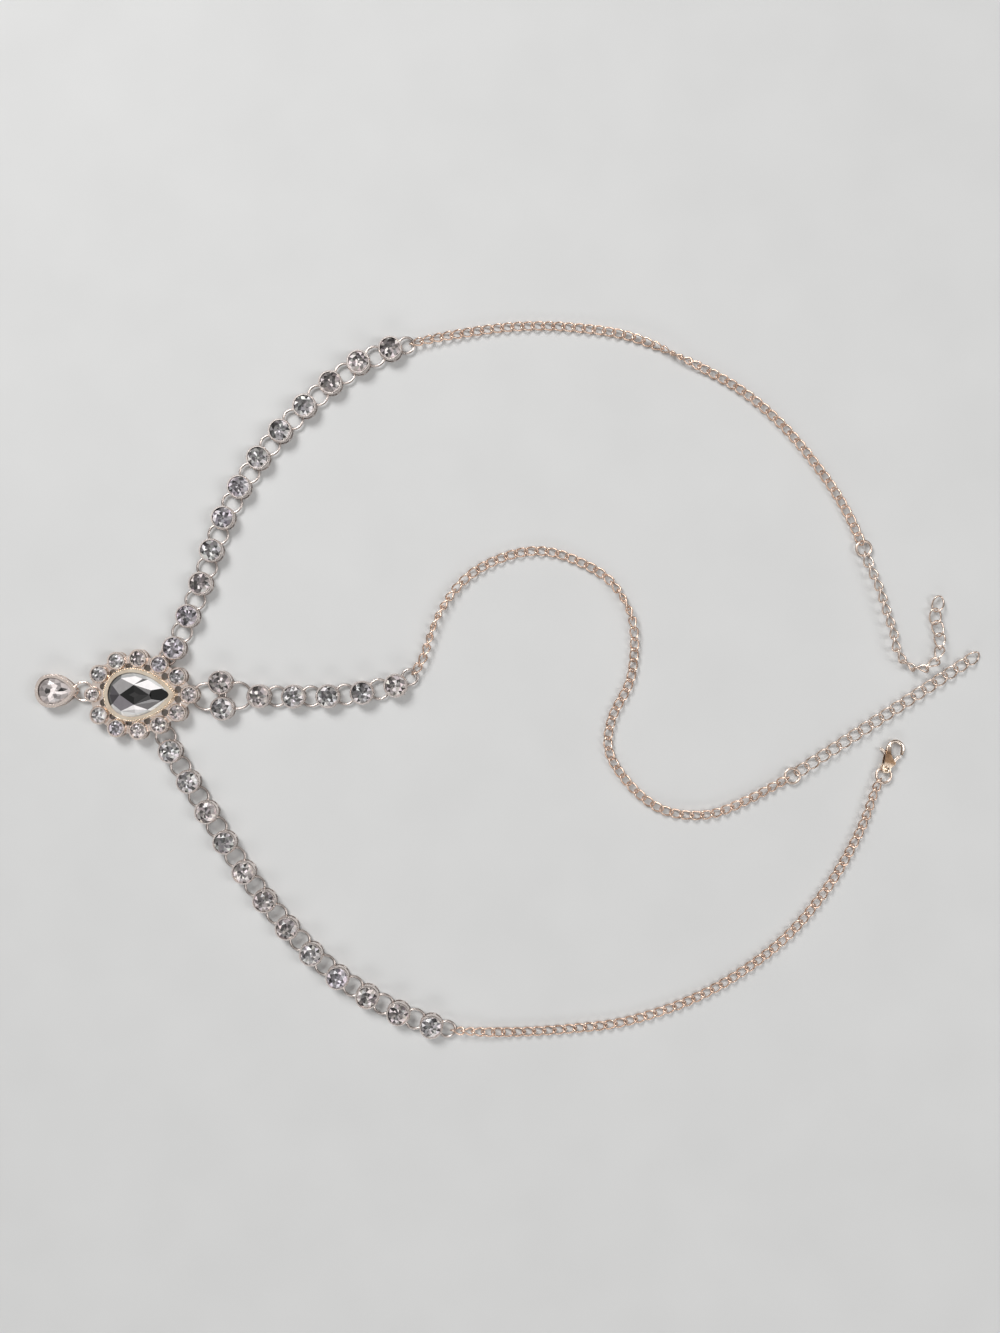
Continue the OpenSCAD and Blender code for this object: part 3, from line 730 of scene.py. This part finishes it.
# Side of a stone with painted light, in degrees from the X axis, and how much brighter it is
BRIGHT_SIDE, BRIGHT_SHARE = -50, 0.16
# How far one stone's brightness and one facet's tint may stray
LEVEL_STRAY, TINT_STRAY = 0.12, 0.04


def round_stones(name, seed, base):
    """Rhinestones of one node, their facets painted with reflections; base is how bright they are
    beside the greys above.
    """
    rng = random.Random(seed)
    facets = Facets()
    for low, high in islands(name):
        r = (high.x - low.x) / 2
        place = ((low.x + high.x) / 2, (low.y + high.y) / 2)
        turn = rng.uniform(0, math.pi / 4)
        level = base * rng.uniform(1 - LEVEL_STRAY, 1 + LEVEL_STRAY)
        tint = rng.choice([CLEAR, CLEAR, LILAC, BLUSH, BLUSH])

        def outline(k, t):
            return k * r * math.cos(t + turn), k * r * math.sin(t + turn)

        # Each facet's painted reflection: a white glint, a dark patch or a grey, brighter on the
        # painted lit side
        def shade(kind, t):
            dark, bright = STONE_GREYS[kind]
            painted_lit_side = BRIGHT_SHARE * math.cos(t + turn - math.radians(BRIGHT_SIDE))
            hue = tuple(c + rng.uniform(-TINT_STRAY, TINT_STRAY) for c in tint)
            chance = rng.random()
            if chance < SPARKLE.get(kind, 0):
                return tone(rng.uniform(*FLASH_GREYS), hue)
            if kind in SPARKLE and chance > 1 - SHADED:
                return tone((level + painted_lit_side) * rng.uniform(*SHADED_GREYS), hue)
            return tone((level + painted_lit_side) * rng.uniform(dark, bright), hue)

        z_girdle = high.z - CROWN * 2 * r - GIRDLE
        brilliant(facets, outline, place, low.z, z_girdle, high.z, shade)
    facets.make(name + "_cut", name, CRYSTAL)


# Node, seed of its random draws, and brightness
round_stones("medallion_small_stones", 11, 1.08)
round_stones("upper_strand_stones", 12, 0.98)
round_stones("lower_strand_stones", 13, 1.02)
round_stones("middle_strand_stones", 14, 0.96)


# Greys of the painted reflections in the drop stone's table, from its point round: white arms
# between dark patches
DROP_GREYS = {
    "heart": [48, 206, 252, 240, 232, 252, 228, 250],
    "table": [34, 46, 150, 238, 232, 190, 150, 72, 60, 160, 250, 206, 120, 176, 252, 226],
    "star": [84, 136, 200, 160, 140, 242, 150, 248],
}
# Greys of its other facets' painted reflections, how much brighter its painted lit side is, and the
# height of its crown
DROP_OUTER_GREYS, DROP_LEAN, DROP_CROWN = (142, 208), 26, 1.1


def drop_stone(seed):
    """Pear brilliant painted with reflections: a white cross in its middle."""
    rng = random.Random(seed)
    low, high = islands("drop_stone")[0]
    place = ((low.x + high.x) / 2, (low.y + high.y) / 2)
    length, width = high.x - low.x, high.y - low.y

    def outline(k, t):
        x, y = pear_at(length, width, t)
        return k * x, k * y

    def shade(kind, t):
        share = t / (2 * math.pi) % 1
        if kind in DROP_GREYS:
            greys = DROP_GREYS[kind]
            return tone(greys[int(share * len(greys))], BLUSH)
        painted_lit_side = DROP_LEAN * math.cos(t - math.radians(BRIGHT_SIDE))
        return tone(rng.uniform(*DROP_OUTER_GREYS) + painted_lit_side, BLUSH)

    facets = Facets()
    brilliant(facets, outline, place, low.z, high.z - DROP_CROWN - GIRDLE, high.z, shade)
    facets.make("drop_stone_cut", "drop_stone", CLEAR_CRYSTAL)


drop_stone(5)


# Large stone: height of its crown, size of its flat back beside its width, and steps of its girdle
LARGE_CROWN, BACK_SHARE, GIRDLE_STEPS = 2.2, 0.4, 44
# Painted reflections: greys of its rim facets from the point round, how much darker the second
# half of each is painted, and greys of the girdle, the sides below it and the flat back
RIM_GREYS = [214, 236, 200, 190, 120, 96, 104, 226, 246, 214, 250, 236]
RIM_FADE = 0.92
GIRDLE_GREY, SIDE_GREY, BACK_GREY = 190, 150, 120


def large_stone():
    """A lozenge table with lozenges round it and a band of rim facets, all painted with
    reflections.
    """
    low, high = islands("medallion_stone")[0]
    z_top, z_rim = high.z, high.z - LARGE_CROWN
    length, width = high.x - low.x, high.y - low.y
    count = GIRDLE_STEPS

    def oval(share, z):
        return [(*pear_at(length * share, width * share, 2 * math.pi * i / count), z)
                for i in range(count)]

    def at(x, y, drop):
        return x, y, z_top - drop

    def pair(x, y, drop):
        return at(x, y, drop), at(x, -y, drop)

    girdle, under, back = oval(1, z_rim), oval(1, z_rim - GIRDLE), oval(BACK_SHARE, low.z)
    # Corners of the crown: x, y and how far below the table; the first four are the table's own
    left, right = at(-4.9, 0, 0), at(3.4, 0, 0)
    top, bottom = pair(-0.9, 2.8, 0)
    ledge, ledge_low = pair(3.8, 1.25, 0.35)
    point, point_low = pair(6.5, 1.75, 1.35)
    shoulder, shoulder_low = pair(2.6, 4.2, 1.3)
    crest, crest_low = pair(-0.9, 5.2, 1.35)
    corner, corner_low = pair(-4.9, 4.6, 1.25)
    cheek, cheek_low = pair(-7.3, 2.6, 1.3)
    heel = at(-8.1, 0, 1.25)
    # Small lozenge inside the table, and the notch in the painted white band below the table
    inner = [at(-2.2, 0, 0), at(-0.8, -0.75, 0), at(0.6, 0, 0), at(-0.8, 0.75, 0)]
    notch = at(-0.9, -4.15, 0.76)
    # Outer end of the seam painted dark between the two facets painted white above the table
    seam = at(1.3, 4.45, 0.8)
    # Facets of the crown and the grey of the painted reflection on each
    crown = [
        (inner, 50, CLEAR),
        ([left, inner[0], inner[3], top], 10, CLEAR),
        ([top, inner[3], inner[2], right], 30, CLEAR),
        ([left, bottom, inner[1], inner[0]], 14, CLEAR),
        ([bottom, right, inner[2], inner[1]], 46, CLEAR),
        ([top, right, ledge], 120, CLEAR),
        ([bottom, ledge_low, right], 70, CLEAR),
        ([top, ledge, point, shoulder], 252, CLEAR),
        ([bottom, shoulder_low, point_low, ledge_low], 122, CLEAR),
        ([top, seam, crest, corner], 246, CLEAR),
        ([top, shoulder, seam], 104, CLEAR),
        ([seam, shoulder, crest], 206, CLEAR),
        ([bottom, corner_low, notch], 246, CLEAR),
        ([bottom, notch, shoulder_low], 252, CLEAR),
        ([notch, corner_low, crest_low], 190, CLEAR),
        ([notch, crest_low, shoulder_low], 204, CLEAR),
        ([left, top, corner, cheek], 152, CLEAR),
        ([left, cheek_low, corner_low, bottom], 128, LILAC),
        ([left, cheek, heel], 88, LILAC),
        ([left, heel, cheek_low], 74, LILAC),
        ([right, ledge_low, point_low, girdle[0], point, ledge], 14, CLEAR),
    ]
    facets = Facets()
    for corners, grey, tint in crown:
        facets.add(corners, tone(grey, tint))
    # Rim facets join each of these corners to the girdle, from one step of it to the next
    loop = [(girdle[0], 0), (point, 4), (shoulder, 8), (crest, 12), (corner, 15), (cheek, 19),
            (heel, 22), (cheek_low, 25), (corner_low, 29), (crest_low, 32), (shoulder_low, 36),
            (point_low, 40), (girdle[0], count)]
    for (a, i), (b, j), grey in zip(loop, loop[1:], RIM_GREYS):
        half = (i + j) // 2
        rim = [girdle[k % count] for k in range(i, j + 1)]
        facets.add([a, *rim[:half - i + 1]], tone(grey))
        facets.add([a, *rim[half - i:], b], tone(grey * RIM_FADE))
    for i in range(count):
        j = (i + 1) % count
        facets.add([girdle[i], under[i], under[j], girdle[j]], tone(GIRDLE_GREY))
        facets.add([under[i], back[i], back[j], under[j]], tone(SIDE_GREY))
    facets.add(back[::-1], tone(BACK_GREY))
    facets.make("medallion_stone_cut", "medallion_stone", CLEAR_CRYSTAL)


large_stone()
